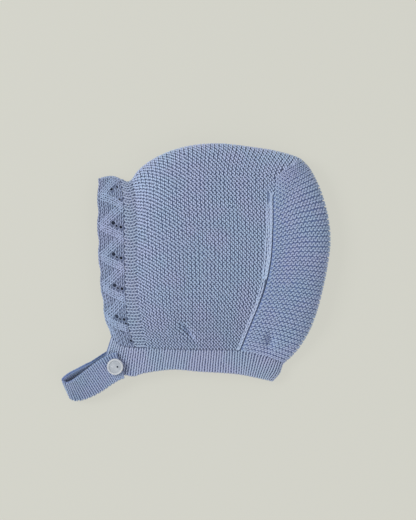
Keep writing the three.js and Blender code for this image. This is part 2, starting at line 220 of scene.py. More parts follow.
TOP_SEAM = [(52.6, 62.2), (60.0, 68.6)]
CORNER_SHARE = 0.8
NECK_STATIONS = [
    ("tab", -56.9, -43.9, -61.4, -58.0), ("", -50.6, -49.6, -53.4, -66.6),
    ("lace_rib", -40.2, -51.3, -42.6, -70.2), ("rib_main", -32.8, -51.3, -35.2, -68.1),
    ("", -14.1, -52.3, -15.6, -65.6), ("", 2.7, -52.6, 1.6, -66.9), ("seam", 29.4, -53.3, 28.6, -68.8),
    ("", 44.6, -56.4, 41.8, -71.4), ("fold", 58.2, -61.6, 50.8, -73.6),
]
FAR_FRONT = {"top": (-52.0, -51.0), "hem": (-46.2, -69.6)}
REPEAT = {"first": 0.045, "pitch": 0.187, "count": 5, "scallop": 0.9}

fold_line = smooth_line([row[1:] for row in FOLD_LINE])
neck_line = smooth_line([row[1:3] for row in NECK_STATIONS])
hem_line = smooth_line([row[3:] for row in NECK_STATIONS])


def place_of(rows, name):
    return [row[0] for row in rows].index(name)


def fold_stretch(start, end):
    return stretch(fold_line, place_of(FOLD_LINE, start), place_of(FOLD_LINE, end))


def neck_stretch(start, end, line=None):
    line = neck_line if line is None else line
    return stretch(line, place_of(NECK_STATIONS, start), place_of(NECK_STATIONS, end))


fold_point = {row[0]: row[1:] for row in FOLD_LINE}
side_seam = stretch(smooth_line(SIDE_SEAM))
top_seam = stretch(smooth_line([*TOP_SEAM, fold_point["crown_end"]]))
lace_rib_edge = stretch(smooth_line([*LACE_RIB_LINE, fold_point["lace_end"]]))
rib_main_edge = stretch(smooth_line([*RIB_MAIN_LINE, fold_point["rib_end"]]))
plain_face_edge = stretch(smooth_line([*FACE_LINE, fold_point["lace_corner"]]))


def smoothstep(x, low, high):
    t = np.clip((x - low) / (high - low), 0, 1)
    return t * t * (3 - 2 * t)


def face_edge(share):
    turn = 2 * np.pi * (share - REPEAT["first"]) / REPEAT["pitch"]
    dip = REPEAT["scallop"] * ((1 + np.cos(turn)) / 2) ** 2 * smoothstep(1 - share, 0, 0.06)
    return plain_face_edge(share) + np.stack([dip, 0 * dip], -1)


def back_edge(share):
    corner = (np.asarray(share) >= CORNER_SHARE)[..., None]
    side = side_seam(share / CORNER_SHARE)
    return np.where(corner, top_seam((share - CORNER_SHARE) / (1 - CORNER_SHARE)), side)


def net_between(left, right, bottom, top):
    """A net between four lines: left and right run along b, bottom and top along a."""
    def net(a, b):
        a, b = np.broadcast_arrays(a, b)
        wa, wb = a[..., None], b[..., None]
        across = left(b) * (1 - wa) + right(b) * wa
        along = bottom(a) * (1 - wb) + top(a) * wb
        corners = (left(0.0) * (1 - wa) * (1 - wb) + right(0.0) * wa * (1 - wb)
                   + left(1.0) * (1 - wa) * wb + right(1.0) * wa * wb)
        return across + along - corners

    return net


print("fold of", round(fold_stretch("lace_corner", "hem_end").length), "mm,",
      "side seam of", round(side_seam.length), "mm")

# %% [markdown]
# ## One height rule for all panels
# The lower layer lies flat and the upper one arches over it. Both turn into each other along the fold,
# like a quarter of a circle on each side of it, so the height of the cloth depends only on how far a
# point is from the fold and on how full the bonnet is there. Two soft dents and the sagging button tab
# are taken off the upper layer.

# %% The height of the cloth
BODY_HEIGHT, MOUTH_HEIGHT = 27.0, 12.0
FOLD_SHARE, UPPER_TURN, LOWER_TURN = 0.33, 1.5, 0.36
FACE_RISE, NECK_RISE = (-68.0, -12.0), (-64.0, -18.0)
DENTS = [(-6.2, -38.2, 2.7, 5.5, 6.2, 0.7), (49.0, -45.0, 3.2, 5.0, 5.0, 0.0)]
TAB_SAG = (-56.0, -62.0, 12.0, 13.0, 3.4, 0.0)


def sag(x, y, row):
    """How deep a dent is at (x, y); its last number leans it over."""
    at_x, at_y, spread_x, spread_y, depth, lean = row
    across = (x - at_x + lean * (y - at_y)) / spread_x
    along = (y - at_y) / spread_y
    return depth * np.exp(-(across**2) - along**2)


def dented(points):
    """Points of the upper layer with the soft dents pressed in."""
    depth = sum(sag(points[..., 0], points[..., 1], dent) for dent in DENTS)
    return points - depth[..., None] * np.array([0, 0, 1])


def arch_height(x, y):
    fullness = smoothstep(x, *FACE_RISE) * smoothstep(y, *NECK_RISE)
    return MOUTH_HEIGHT + (BODY_HEIGHT - MOUTH_HEIGHT) * fullness - sag(x, y, TAB_SAG)


def distance_to_fold(flat):
    starts, runs = fold_line[:-1], np.diff(fold_line, axis=0)
    squares = np.sum(runs**2, 1)
    found = []
    for some in np.array_split(flat, max(1, len(flat) // 4000)):
        share = np.clip(np.einsum("nsi,si->ns", some[:, None] - starts, runs) / squares, 0, 1)
        near = starts + runs * share[..., None]
        found.append(np.linalg.norm(some[:, None] - near, axis=2).min(1))
    return np.concatenate(found)


def round_rise(q):
    return np.sqrt(1 - (1 - np.minimum(q, 1)) ** 2)


def lift(plan, upper, wall):
    """Puts points in plan at the height of the upper or lower layer's middle."""
    x, y = plan[..., 0], plan[..., 1]
    inward = distance_to_fold(plan.reshape(-1, 2)).reshape(x.shape)
    arch = arch_height(x, y)
    fold = FOLD_SHARE * arch + wall / 2
    over = fold + (arch - fold) * round_rise(inward / (UPPER_TURN * arch))
    under = fold - (fold - wall / 2) * round_rise(inward / (LOWER_TURN * arch))
    return np.dstack([plan, np.where(upper, over, under)])


# %% [markdown]
# ## A map of each panel
# To lay stitches on the cloth, each panel gets a map: a fine grid of points and of directions that
# point out of the cloth. A place on the map is two shares, across and along, and a lift above the
# cloth's middle. Along the knitting the grid is spaced evenly by length, near side and far side
# apart, so stitches keep their size over the fold. The soft dents are pressed in after that, so that
# they don't draw the rows out of line.


# %% The map
OVERHANG = 0.05


class ClothMap:
    """points[i, j] is the cloth's middle at across i and along j; normals point outwards."""

    def __init__(self, points, outward=1):
        self.points = points
        across, along = np.gradient(points, axis=0), np.gradient(points, axis=1)
        out = outward * np.cross(across, along)
        self.normals = out / np.linalg.norm(out, axis=2, keepdims=True)
        self.size = (np.linalg.norm(np.diff(points, axis=0), axis=2).sum(0).mean(),
                     np.linalg.norm(np.diff(points, axis=1), axis=2).sum(1).mean())

    def area(self):
        across, along = np.diff(self.points, axis=0)[:, :-1], np.diff(self.points, axis=1)[:-1]
        return np.linalg.norm(np.cross(across, along), axis=2).sum()

    def at(self, across, along, raised=0.0):
        """Points and outward directions at shares of the way across and along, raised above the middle."""
        wide, tall = self.points.shape[:2]
        a = np.clip(across, -OVERHANG, 1 + OVERHANG) * (wide - 1)
        b = np.clip(along, -OVERHANG, 1 + OVERHANG) * (tall - 1)
        i, j = np.clip(a.astype(int), 0, wide - 2), np.clip(b.astype(int), 0, tall - 2)
        u, v = (a - i)[..., None], (b - j)[..., None]

        def mixed(grid):
            return ((grid[i, j] * (1 - u) + grid[i + 1, j] * u) * (1 - v)
                    + (grid[i, j + 1] * (1 - u) + grid[i + 1, j + 1] * u) * v)

        out = mixed(self.normals)
        out /= np.linalg.norm(out, axis=-1, keepdims=True)
        return mixed(self.points) + out * np.asarray(raised)[..., None], out


def evenly(lines, count):
    """Spaces the points of each line evenly by its length."""
    return np.stack([picked(line, walked, np.linspace(0, walked[-1], count))
                     for line, walked in zip(lines, walk(lines))])


NECK_TRIM = 0.0012
COARSE, FINE = 120, 260


def map_over_fold(net, wall, wide, half, across_trim):
    """A panel whose lines run from the near neck edge over the fold to the far neck edge. wide and half
    count its points across and along one side; the trims leave a hair's gap to the neighbours."""
    a = np.linspace(across_trim, 1 - across_trim, wide)[:, None]
    turn = np.linspace(math.sqrt(1 - NECK_TRIM), 0, FINE)[None, :]
    plan = net(a, 1 - turn**2)
    near = dented(evenly(lift(plan, True, wall), half))
    far = evenly(lift(plan, False, wall)[:, ::-1], half)
    return ClothMap(np.concatenate([near, far[:, 1:]], axis=1))


main_net = net_between(rib_main_edge, back_edge, neck_stretch("rib_main", "seam"),
                       fold_stretch("rib_end", "crown_end"))
main_map = map_over_fold(main_net, GARTER_WALL, wide=97, half=181, across_trim=0.0017)
rib_net = net_between(lace_rib_edge, rib_main_edge, neck_stretch("lace_rib", "rib_main"),
                      fold_stretch("lace_end", "rib_end"))
front_rib_map = map_over_fold(rib_net, RIB_WALL, wide=17, half=181, across_trim=0.019)
lace_net = net_between(face_edge, lace_rib_edge, neck_stretch("tab", "lace_rib"),
                       fold_stretch("lace_corner", "lace_end"))
lace_map = map_over_fold(lace_net, LACE_WALL, wide=41, half=241, across_trim=0.008)
print("main panel, front rib and lace:",
      [np.round(cloth.size, 1).tolist() for cloth in (main_map, front_rib_map, lace_map)], "mm")


# %% The back panel's map runs from the near side seam over the fold to the far one
BACK_HALF, BACK_TALL = 41, 161
BACK_SEAM_TRIM = 0.9975


def map_of_back():
    net = net_between(side_seam, fold_stretch("neck_end", "crown_end"), neck_stretch("seam", "fold"),
                      top_seam)
    up = np.linspace(NECK_TRIM, 1 - NECK_TRIM, BACK_TALL)[None, :]
    turn = np.linspace(BACK_SEAM_TRIM, 0, COARSE)[:, None]
    plan = net(1 - turn**2, up)
    near = dented(evenly(lift(plan, True, GARTER_WALL).transpose(1, 0, 2), BACK_HALF))
    far = evenly(lift(plan, False, GARTER_WALL)[::-1].transpose(1, 0, 2), BACK_HALF)
    return ClothMap(np.concatenate([near, far[:, 1:]], axis=1).transpose(1, 0, 2))


back_map = map_of_back()
print("back panel:", np.round(back_map.size, 1), "mm")


# %% The neckband's map runs from the button tab round the fold to the far front end
def band_run(far):
    """The band's top and hem lines from the fold to the front, each a dense line."""
    places = ["fold", "seam", "rib_main", "lace_rib"]
    shares = np.linspace(0, 1, COARSE)
    lines = []
    for line, front in ((neck_line, "top"), (hem_line, "hem")):
        runs = [neck_stretch(a, b, line) for a, b in zip(places, places[1:])]
        if far:
            runs.append(stretch(smooth_line([runs[-1](1.0), FAR_FRONT[front]])))
        else:
            runs.append(neck_stretch("lace_rib", "tab", line))
        first = runs[0](shares**2)
        lines.append(np.vstack([first, *[run(shares)[1:] for run in runs[1:]]]))
    return lines


BULGE_REACH = 8.0
BAND_ROWS, BAND_COLUMNS = 25, 161
BAND_TOP_TRIM = 0.009375


def map_of_band():
    """Near its fold the band bulges out to the fold line, so that its two layers meet there."""
    up = np.linspace(0, 1 - BAND_TOP_TRIM, BAND_ROWS)[None, :, None]
    halves = []
    for far in (False, True):
        top, hem = band_run(far)
        plan = hem[:, None] * (1 - up) + top[:, None] * up
        bulge = fold_stretch("neck_end", "hem_end")(1 - up[0, :, 0]) - plan[0]
        from_fold = np.linalg.norm(hem - hem[0], axis=1)
        plan = plan + bulge * np.clip(1 - from_fold / BULGE_REACH, 0, 1)[:, None, None]
        lifted = lift(plan, not far, RIB_WALL)
        walked = walk(lifted[:, BAND_ROWS // 2])
        goal = np.linspace(0, walked[-1], BAND_COLUMNS)
        halves.append(np.stack([picked(lifted[:, j], walked, goal) for j in range(BAND_ROWS)], 1))
    return ClothMap(np.concatenate([halves[0][::-1], halves[1][1:]]))


band_map = map_of_band()
print("neckband:", np.round(band_map.size, 1), "mm")

# %% The strap's map follows its middle line; its outer side faces up on the near run
STRAP_ROUTE = [
    (-49.7, -60.9, 1.4, 107.3, 0), (-56.3, -62.9, 2.1, 110, 4), (-61.6, -65.7, 4.2, 114, 16),
    (-66.4, -67.6, 6.2, 116, 30), (-72.3, -69.3, 7.6, 116, 42), (-78.9, -71.6, 8.5, 116, 50),
    (-84.2, -74.4, 9.0, 113, 52), (-87.4, -77.6, 9.3, 108, 52), (-85.2, -80.3, 10.2, 103, 45),
    (-80.8, -79.9, 11.4, 111, 36), (-74.6, -76.9, 12.6, 119, 24), (-67.6, -72.4, 12.9, 124, 10),
    (-60.9, -67.6, 12.8, 123, 3), (-54.0, -63.6, 12.8, 114, 0), (-50.6, -62.6, 13.1, 107, 0),
]
STRAP_ROWS, STRAP_COLUMNS = 221, 17


def map_of_strap():
    """A row of the route is x, y, z, and how the cross line heads and rises, in degrees."""
    middle = smooth_line([row[:3] for row in STRAP_ROUTE])
    turning = smooth_line([row[3:] for row in STRAP_ROUTE])
    walked = walk(middle)
    goal = np.linspace(0, walked[-1], STRAP_ROWS)
    middle = picked(middle, walked, goal)
    heading = np.radians(np.interp(goal, walked, turning[:, 0]))
    rise = np.radians(np.interp(goal, walked, turning[:, 1]))
    side = np.stack([np.cos(heading) * np.cos(rise), np.sin(heading) * np.cos(rise), np.sin(rise)], -1)
    across = np.linspace(-0.5, 0.5, STRAP_COLUMNS)[:, None, None] * STRAP_WIDTH
    return ClothMap(middle + side * across, outward=-1), walked[-1]


strap_map, strap_length = map_of_strap()
print("chin strap of", round(strap_length), "mm")

# %% [markdown]
# ## Yarn
# A length of yarn is a thin tube round a short path. Thousands of them are needed, so all paths of one
# kind are kept in one array and turned into one mesh at once, with a ring of corners round each point.
# The mesh also carries a UV map, which tells how far along the strand and round it each corner is, and
# an attribute with its height over the middle of the cloth.


# %% Meshes from arrays
class Skin:
    """Points in millimetres, faces, one uv for each corner of each face, and a height for each point."""

    def __init__(self, points, faces, uvs, heights):
        self.points, self.faces, self.uvs, self.heights = points, faces, uvs, heights

    def __add__(self, other):
        start = len(self.points)
        moved = [[corner + start for corner in face] for face in other.faces]
        return Skin(np.vstack([self.points, other.points]), self.faces + moved,
                    np.vstack([self.uvs, other.uvs]), np.concatenate([self.heights, other.heights]))

    def piece(self, name, slot_name, finish, node=None):
        mesh = bpy.data.meshes.new(name)
        mesh.from_pydata(((self.points + SHIFT) * MM).tolist(), [], self.faces)
        mesh.uv_layers.new(name="strand").data.foreach_set("uv", self.uvs.astype(np.float32).ravel())
        height = mesh.attributes.new("height", "FLOAT", "POINT")
        height.data.foreach_set("value", self.heights.astype(np.float32))
        mesh.shade_smooth()
        mesh.materials.append(finish)
        piece = bpy.data.objects.new(name, mesh)
        bpy.context.collection.objects.link(piece)
        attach(piece, "root")
        if node:
            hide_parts(node)
        return piece


def tubes(paths, outward, radius, rise, sides=6):
    """One tube round each path. paths and outward are (count, steps, 3), rise is (count, steps)."""
    count, steps = paths.shape[:2]
    run = np.gradient(paths, axis=1)
    run /= np.linalg.norm(run, axis=2, keepdims=True)
    side = np.cross(run, outward)
    side /= np.linalg.norm(side, axis=2, keepdims=True)
    out = np.cross(side, run)
    turn = np.linspace(0, 2 * np.pi, sides, endpoint=False)[:, None]
    ring = side[:, :, None] * np.cos(turn) + out[:, :, None] * np.sin(turn)
    radius = np.broadcast_to(radius, (count, steps))[..., None]
    points = paths[:, :, None] + ring * radius[..., None]
    # Each corner's height over the cloth's middle; the yarn finish turns low heights into painted shade.
    heights = np.broadcast_to(rise, (count, steps))[..., None] + radius * np.sin(turn[:, 0])
    index = np.arange(count * steps * sides).reshape(count, steps, sides)
    here, there = index[:, :-1], index[:, 1:]
    skin = np.stack([here, there, np.roll(there, -1, 2), np.roll(here, -1, 2)], -1).reshape(-1, 4)
    ends = np.concatenate([index[:, 0], index[:, -1, ::-1]])
    walked = walk(paths) + rng.uniform(0, 40, (count, 1))
    u = np.broadcast_to(walked[..., None], (count, steps, sides + 1))
    v = np.broadcast_to(np.arange(sides + 1) / sides, u.shape)
    grid = np.stack([u, v], -1)
    skin_uv = np.stack([grid[:, :-1, :-1], grid[:, 1:, :-1], grid[:, 1:, 1:], grid[:, :-1, 1:]], 3)
    end_uv = np.concatenate([grid[:, 0, :-1], grid[:, -1, :-1]])
    uvs = np.vstack([skin_uv.reshape(-1, 2), end_uv.reshape(-1, 2)])
    return Skin(points.reshape(-1, 3), [*skin.tolist(), *ends.tolist()], uvs, heights.ravel())


def sheet_skin(cloth_map, across, along, above, below):
    """A closed sheet of across by along cells, with skins above and below the map's middle."""
    a, b = np.meshgrid(np.linspace(0, 1, across + 1), np.linspace(0, 1, along + 1), indexing="ij")
    skins = [cloth_map.at(a, b, raised)[0].reshape(-1, 3) for raised in (above, below)]
    top, under = np.arange(2 * a.size).reshape(2, *a.shape)
    faces = [np.stack([top[:-1, :-1], top[1:, :-1], top[1:, 1:], top[:-1, 1:]], -1).reshape(-1, 4),
             np.stack([under[:-1, :-1], under[:-1, 1:], under[1:, 1:], under[1:, :-1]], -1).reshape(-1, 4)]
    rims = [(top[:, 0], under[:, 0]), (top[-1], under[-1]), (top[::-1, -1], under[::-1, -1]),
            (top[0, ::-1], under[0, ::-1])]
    faces += [np.stack([high[:-1], low[:-1], low[1:], high[1:]], -1) for high, low in rims]
    faces = np.vstack(faces)
    flat = np.stack([a.ravel() * cloth_map.size[0], b.ravel() * cloth_map.size[1]], -1)
    # Both skins carry the upper skin's height, so the yarn finish paints the whole sheet in its painted
    # shade.
    return Skin(np.concatenate(skins), faces.tolist(), np.vstack([flat, flat])[faces.ravel()],
                np.full(2 * a.size, above))


def middles(count, first=0.0, last=1.0):
    return first + (last - first) * (np.arange(count) + 0.5) / count


# %% [markdown]
# ## Shader sums
# A knitted finish needs some arithmetic between nodes. A small class stands for a node's output and
# turns plus, minus, times and divide into Math nodes, so that a formula can be written as one.


# %% Outputs that do arithmetic
class Wire:
    def __init__(self, finish, socket):
        self.finish, self.socket = finish, socket

    def maths(self, operation, *values):
        return self.finish.node("ShaderNodeMath", {"operation": operation}, enumerate(values))

    def __add__(self, other):
        return self.maths("ADD", self, other)

    def __sub__(self, other):
        return self.maths("SUBTRACT", self, other)

    def __rsub__(self, other):
        return self.maths("SUBTRACT", other, self)

    def __mul__(self, other):
        return self.maths("MULTIPLY", self, other)

    def __truediv__(self, other):
        return self.maths("DIVIDE", self, other)

    def __rtruediv__(self, other):
        return self.maths("DIVIDE", other, self)

    __radd__, __rmul__ = __add__, __mul__

    def sine(self):
        return self.maths("SINE", self)

    def between(self, low, high):
        """0 at low, 1 at high and never outside."""
        return self.finish.node("ShaderNodeMapRange", {"clamp": True}, {0: self, 1: low, 2: high})


class Finish:
    """A material, with one method that adds every node."""

    def __init__(self, name):
        self.material = bpy.data.materials.new(name)
        self.material.use_nodes = True
        self.tree = self.material.node_tree
        self.surface = self.tree.nodes["Principled BSDF"]

    def node(self, kind, settings=(), values=(), output=0):
        made = self.tree.nodes.new(kind)
        for name, value in dict(settings).items():
            setattr(made, name, value)
        for place, value in dict(values).items():
            self.feed(made.inputs[place], value)
        return Wire(self, made.outputs[output])

    def feed(self, socket, value):
        if isinstance(value, Wire):
            self.tree.links.new(value.socket, socket)
        else:
            socket.default_value = value

    def shine(self, values):
        for name, value in values.items():
            self.feed(self.surface.inputs[name], value)
        return self.material

    def noise(self, scale, detail=2.0):
        place = self.node("ShaderNodeTexCoord", output="Object")
        return self.node("ShaderNodeTexNoise", values={"Vector": place, "Scale": scale, "Detail": detail})

    def mix(self, share, low, high):
        """The Mix node keeps a set of sockets for every kind of value; 6 and 7 are its colours."""
        return self.node("ShaderNodeMix", {"data_type": "RGBA"}, {0: share, 6: low, 7: high}, output=2)


def linear(red, green, blue, shade=1.0):
    """A screen colour from 0 to 255 as the shader's linear colour."""
    values = [((c / 255 + 0.055) / 1.055) ** 2.4 * shade for c in (red, green, blue)]
    return (*values, 1.0)


# %% [markdown]
# ## Yarn's finish
# The tops of the stitches are fluffy and catch the light, and the strands between them lie in each
# other's shade. That light and shade is painted into the colour: the height attribute takes the yarn
# from a dark, bluish painted shade low down to its full colour at the tops. A large soft noise lets the dye
# drift between lavender and grey-blue, and the bump is the ply's twist along the strand with fibres.


# %% Finishes of the yarn
def yarn_finish(name, red, green, blue, painted_valley_shade=0.3, low=-0.1, high=1.2):
    finish = Finish(name)
    drift = finish.noise(55.0).between(0.35, 0.65)
    colour = finish.mix(drift, linear(red - 3, green + 2, blue), linear(red + 4, green - 1, blue + 1))
    # Painted shade: the colour is darkened towards a bluish dark at low heights, so the valleys between
    # strands look shaded.
    height = finish.node("ShaderNodeAttribute", {"attribute_name": "height"}, output=2).between(low, high)
    shade = finish.mix(height, (painted_valley_shade * 0.9, painted_valley_shade * 1.05, painted_valley_shade * 1.5, 1), (1, 1, 1, 1))
    shaded = finish.node("ShaderNodeMix", {"data_type": "RGBA", "blend_type": "MULTIPLY"},
                         {0: 1.0, 6: colour, 7: shade}, output=2)
    strand = finish.node("ShaderNodeUVMap", {"uv_map": "strand"})
    along = finish.node("ShaderNodeSeparateXYZ", values={0: strand})
    around = finish.node("ShaderNodeSeparateXYZ", values={0: strand}, output=1)
    twist = (along * 4.5 + around * 12.566).sine()
    relief = twist * 0.5 + finish.noise(2600.0, 3.0)
    bump = finish.node("ShaderNodeBump", values={"Strength": 0.5, "Distance": 0.00012, "Height": relief})
    return finish.shine({"Base Color": shaded, "Roughness": 0.92, "Normal": bump,
                         "Sheen Weight": 0.25, "Sheen Roughness": 0.6})


garter_yarn = yarn_finish("garter_yarn", 186, 203, 236, painted_valley_shade=0.17, low=0.05, high=1.25)
# Painted highlight: the selvedge's copy of the yarn is lighter than the garter's, for its raised chains
# catching the light.
selvedge_yarn_painted_highlight = yarn_finish("selvedge_yarn_painted_highlight", 197, 211, 240, painted_valley_shade=0.34, low=-0.1, high=1.1)
back_yarn = yarn_finish("back_yarn", 172, 188, 219, painted_valley_shade=0.44, low=0.0, high=1.25)
band_yarn = yarn_finish("band_yarn", 174, 187, 216, painted_valley_shade=0.38, low=-0.1, high=0.95)
rib_yarn = yarn_finish("rib_yarn", 164, 179, 207, painted_valley_shade=0.34, low=-0.1, high=1.0)
lace_yarn = yarn_finish("lace_yarn", 172, 188, 222, painted_valley_shade=0.17, low=0.0, high=0.9)
strap_yarn = yarn_finish("strap_yarn", 158, 176, 207, painted_valley_shade=0.5, low=-0.2, high=0.95)
# Painted shade: a darker copy of the yarn for the strap's inner face, standing in for the shadow inside its
# loop.
inner_yarn_painted_shade = yarn_finish("inner_yarn_painted_shade", 126, 137, 160, low=-0.2, high=0.95)
print("finishes so far:", len(bpy.data.materials))

# %% [markdown]
# ## The cloth under the stitches
# Below the stitches lies the cloth proper: a closed sheet as thick as two strands, whose skin shows as
# the ground between them. Its height attribute makes the yarn finish paint it in dark painted shade. It
# is swept from the panel's map, one skin above the middle of the wall and one below it, and closed all
# round.

# %% Ground sheets
main_cloth = sheet_skin(main_map, 48, 144, *GROUND["garter"]).piece(
    "main_cloth", "garter_knit", garter_yarn, "main_panel")
back_cloth = sheet_skin(back_map, 60, 60, *GROUND["garter"]).piece(
    "back_cloth", "garter_knit", back_yarn, "back_panel")
rib_cloth = sheet_skin(front_rib_map, 12, 180, *GROUND["rib"]).piece(
    "front_rib_cloth", "rib_knit", rib_yarn, "front_rib")
band_cloth = sheet_skin(band_map, 240, 12, *GROUND["rib"]).piece(
    "neckband_cloth", "rib_knit", band_yarn, "neckband")
strap_cloth = sheet_skin(strap_map, 16, 120, *GROUND["rib"]).piece(
    "strap_cloth", "rib_knit", strap_yarn, "chin_strap")

# %% [markdown]
# ## Garter stitch
# A garter ridge is two rows of loops hooked into each other: the heads of one row bow one way and the
# feet of the next bow the other way, half a stitch along. Each bow starts below the cloth's skin,
# climbs over it and dives again.


# %% Bows of garter stitch
NEAR_BOW, FAR_BOW = (6, 6), (5, 4)  # points along a bow, corners round it
BOW_HALF = 0.31  # of a stitch
BOW_SWING, BOW_BACK, WOBBLE = 0.34, 0.06, 0.035  # of a ridge
BOW_FOOT, BOW_RISE, BOW_ROUND = -0.35, 1.25, 0.8


def garter_bows(cloth_map, numbers, places, across_at, stitch, far, way, tilt=0.1, swapped=False):
    """A bow at each pair of a ridge number and a share along the ridge. across_at tells where a numbered
    ridge lies at such a share, so that every bow follows its own ridge. way is -1 for heads, 1 for feet."""
    steps, sides = FAR_BOW if far else NEAR_BOW
    bow = np.linspace(-1, 1, steps) * np.pi / 2
    number, place = numbers[:, None], places[:, None]
    wobble = rng.normal(0, WOBBLE, (3, len(numbers), 1))
    along = place + stitch * (BOW_HALF * np.sin(bow) + wobble[1])
    swing = way * (BOW_SWING * np.cos(bow) - BOW_BACK) - tilt * np.sin(bow) + wobble[0]
    rise = BOW_FOOT + (BOW_RISE + wobble[2]) * np.cos(bow) ** BOW_ROUND

    def spot(across, share, lift_):
        return cloth_map.at(*((share, across) if swapped else (across, share)), lift_)

    points, out = spot(across_at(number + swing, along), along, rise)
    edges = [spot(across_at(number + side, place), place, 0.0)[0] for side in (-0.5, 0.5)]
    room = np.linalg.norm(edges[1] - edges[0], axis=2) / RIDGE_WIDTH
    return tubes(points, out, YARN / 2 * np.clip(room, 0.75, 1.25), rise, sides)


def numbers_and_places(ridges, stitches, far, way):
    """Ridge numbers and shares along the ridge of all the bows of one side; feet lie between heads."""
    stitch = 0.5 / stitches
    places = middles(stitches) / 2 + 0.5 * far + (way + 1) * stitch / 4
    return (x.ravel() for x in np.meshgrid(np.arange(ridges) + 0.5, places, indexing="ij"))


# %% The main panel: its ridges spread with its width, and the last ones run out at its back edge
main_widths = np.linalg.norm(np.diff(main_map.points, axis=0), axis=2).sum(0)
WIDTH_STATIONS = np.array([0, 0.1, 0.2, 0.3, 0.4, 0.45, 0.5, 0.55, 0.6, 0.7, 0.8, 0.9, 1])
station_widths = np.interp(WIDTH_STATIONS, np.linspace(0, 1, len(main_widths)), main_widths)
SEAM_TOP = 0.37
MIDDLE_RIDGES = 36


def main_width(place):
    return np.interp(place, WIDTH_STATIONS, station_widths)


def main_across(number, place):
    return number * np.sqrt(RIDGE_WIDTH / main_width(place) / MIDDLE_RIDGES)


def selvedge_inset(place):
    """How far the selvedge's main chain lies from the side seam."""
    return 1.6 + 2.1 * smoothstep(np.minimum(place, 1 - place), 0.12, 0.24)


def main_bows(far, way):
    number, place = numbers_and_places(MAIN_RIDGES, MAIN_STITCHES, far, way)
    low = np.minimum(place, 1 - place) < SEAM_TOP
    edge = np.where(low, 1 - (selvedge_inset(place) + 0.5) / main_width(place), 1.0)
    kept = (main_across(number, place) < edge) & (place < 1)
    stitch = 0.5 / MAIN_STITCHES
    return garter_bows(main_map, number[kept], place[kept], main_across, stitch, far, way)


main_heads = main_bows(False, -1).piece("main_near_heads", "garter_knit", garter_yarn)
main_feet = main_bows(False, 1).piece("main_near_feet", "garter_knit", garter_yarn)
main_far = (main_bows(True, -1) + main_bows(True, 1)).piece(
    "main_far_stitches", "garter_knit", garter_yarn)
print("heads on the main panel's near side:", len(main_heads.data.vertices) // math.prod(NEAR_BOW))


# %% The back panel: its ridges climb from the side seam to the fold near the top
BACK_CLIMBS = [(0.05, 0.87, 0.12), (-0.012, 0.5, 0.15)]  # how much, where and how wide


def back_across(number, place):
    share = number / BACK_RIDGES
    climb = sum(much * np.exp(-(((share - where) / wide) ** 2)) for much, where, wide in BACK_CLIMBS)
    return share + climb * (1 - np.abs(2 * place - 1))


def back_bows(far, way):
    number, place = numbers_and_places(BACK_RIDGES, BACK_STITCHES, far, way)
    stitch = 0.5 / BACK_STITCHES
    return garter_bows(back_map, number, place, back_across, stitch, far, way, -0.05, True)


back_near = (back_bows(False, -1) + back_bows(False, 1)).piece(
    "back_near_stitches", "garter_knit", back_yarn)
back_far = (back_bows(True, -1) + back_bows(True, 1)).piece(
    "back_far_stitches", "garter_knit", back_yarn)


# %% [markdown]
# ## Ribs, chains and seams
# The face of a knit stitch is a V of two slanting legs, and a column of Vs is a chain. Ribs are chains
# side by side with a gap between them, a seam's edge is two chains, and so are the arms of the lace.


# %% Chains of V stitches
LEG_START, LEG_LENGTH = -0.1, 1.15  # of a stitch
LEG_SINK, LEG_ROUND = 0.3, 0.7


def chains(cloth_map, starts, ends, stitch, spread, top=0.66, yarn=YARN, steps=6, sides=6, face=1,
           lean=0.3):
    """Chains from starts to ends, in shares of the map. stitch is one stitch's length and spread a leg's
    distance from the chain's middle, in millimetres; lean draws the legs of a V together at its foot."""
    size = np.array(cloth_map.size)
    t = np.linspace(0, 1, steps)
    hand = np.array([-1, 1])[:, None]
    places = []
    for start, end in zip(np.atleast_2d(starts) * size, np.atleast_2d(ends) * size):
        length = math.dist(start, end)
        unit = (end - start) / length
        square = np.array([-unit[1], unit[0]])
        count = max(1, round(length / stitch))
        row = (np.arange(count)[:, None, None] + LEG_LENGTH * t + LEG_START) / count * length
        reach = spread * (1 - lean + 2 * lean * t) * hand + rng.normal(0, 0.05, (count, 2, 1))
        place = start + row[..., None] * unit + reach[..., None] * square
        places.append(place.reshape(-1, steps, 2) / size)
    place = np.concatenate(places)
    crest = top + LEG_SINK + rng.normal(0, 0.03, (len(place), 1))
    rise = np.sin(np.pi * (0.08 + 0.84 * t)) ** LEG_ROUND * crest - LEG_SINK
    points, out = cloth_map.at(place[..., 0], place[..., 1], face * rise)
    return tubes(points, face * out, yarn / 2, rise, sides)


def spots(first, second):
    """Pairs of shares as rows; one of the two may be a plain number."""
    return np.stack(np.broadcast_arrays(first, second), -1).reshape(-1, 2)


# %% Neckband, front rib and strap
BAND_GAUGE = {"stitch": 1.97, "spread": 0.83, "yarn": 1.15}
RIB_GAUGE = {"stitch": 2.3, "spread": 0.98, "yarn": 1.15, "lean": 0.55}
STRAP_GAUGE = {"stitch": 1.95, "spread": 0.74}
EDGE_GAUGE = {"stitch": 2.4, "spread": 0.35, "top": 0.1}

columns = middles(BAND_RIBS, 0.003, 0.997)
band_stitches = chains(band_map, spots(columns, 0.01), spots(columns, 1.02), **BAND_GAUGE).piece(
    "neckband_stitches", "rib_knit", band_yarn)
columns = middles(FRONT_RIBS, 0.003, 0.997)
rib_stitches = chains(front_rib_map, spots(0.0, columns), spots(1.03, columns), **RIB_GAUGE).piece(
    "front_rib_stitches", "rib_knit", rib_yarn)
columns = middles(STRAP_RIBS)
strap_stitches = chains(strap_map, spots(0.0, columns), spots(1.0, columns), yarn=1.05,
                        **STRAP_GAUGE).piece("strap_stitches", "rib_knit", strap_yarn)
